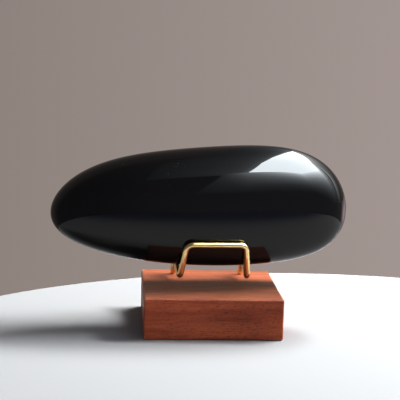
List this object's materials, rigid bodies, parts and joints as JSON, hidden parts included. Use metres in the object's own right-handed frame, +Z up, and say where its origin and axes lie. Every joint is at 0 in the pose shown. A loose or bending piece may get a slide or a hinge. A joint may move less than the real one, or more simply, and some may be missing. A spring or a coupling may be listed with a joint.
{
  "type": "polished obsidian on stand",
  "caption": "Smooth black polished stone, a long flattened egg, resting in a bent brass wire holder on a square wooden block.",
  "frame": {"origin": "centre of the wooden block's flat underside", "axes": "+Z up, -Y towards the viewer and the front bar of the holder, +X to the viewer's right along the stone's length"},
  "size_m": [0.1768, 0.08, 0.1074],
  "materials": {
    "obsidian": "polished",
    "brass": "polished",
    "mahogany": "satin"
  },
  "bodies": {
    "root": {"stone": "obsidian", "back_rest": "brass", "front_cradle": "brass", "wood_block": "mahogany"}
  },
  "joints": []
}
